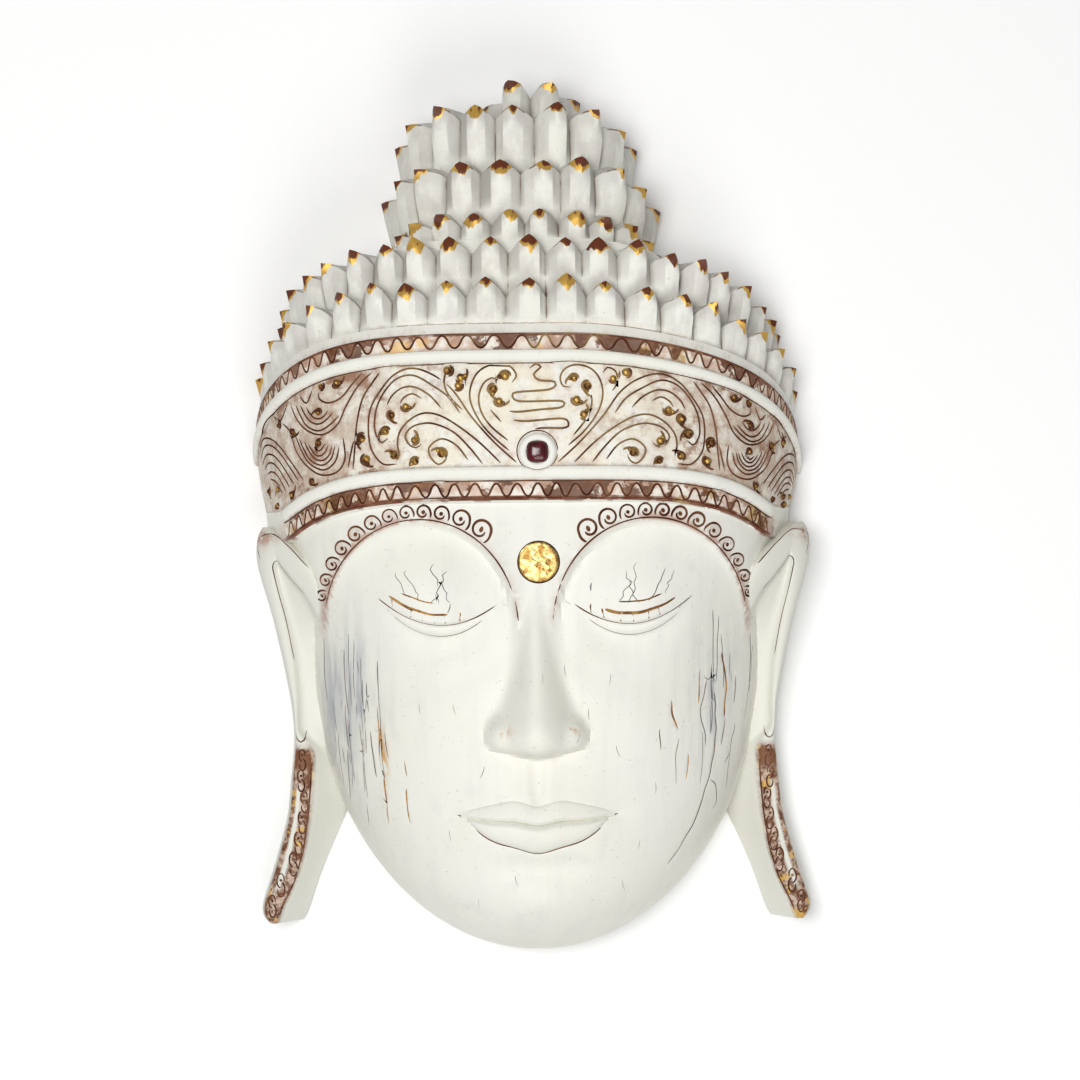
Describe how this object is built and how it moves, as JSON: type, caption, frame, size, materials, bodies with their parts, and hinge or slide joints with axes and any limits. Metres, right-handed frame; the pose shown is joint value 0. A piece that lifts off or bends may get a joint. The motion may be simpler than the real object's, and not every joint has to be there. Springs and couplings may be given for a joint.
{
  "type": "buddha mask",
  "caption": "Carved wooden wall mask of a calm Buddha head with curled hair, scroll band, long ear lobes, gilded disc and red stone, hollow at the back.",
  "frame": {"origin": "centre of the outline on the flat back plane", "axes": "+X to the viewer's right across the face, +Y from chin to crown, +Z out of the face; the mask lies on its back"},
  "size_m": [0.3214, 0.4994, 0.1282],
  "materials": {
    "painted_wood": "whitewashed satin paint over carved light wood, with brown stain and gilding in the carving",
    "gold_leaf": "crumpled gold leaf",
    "red_glass": "polished, very dark red"
  },
  "bodies": {
    "root": {"carved_mask": "painted_wood", "urna_disc": "gold_leaf", "band_stone": "red_glass"}
  },
  "joints": []
}
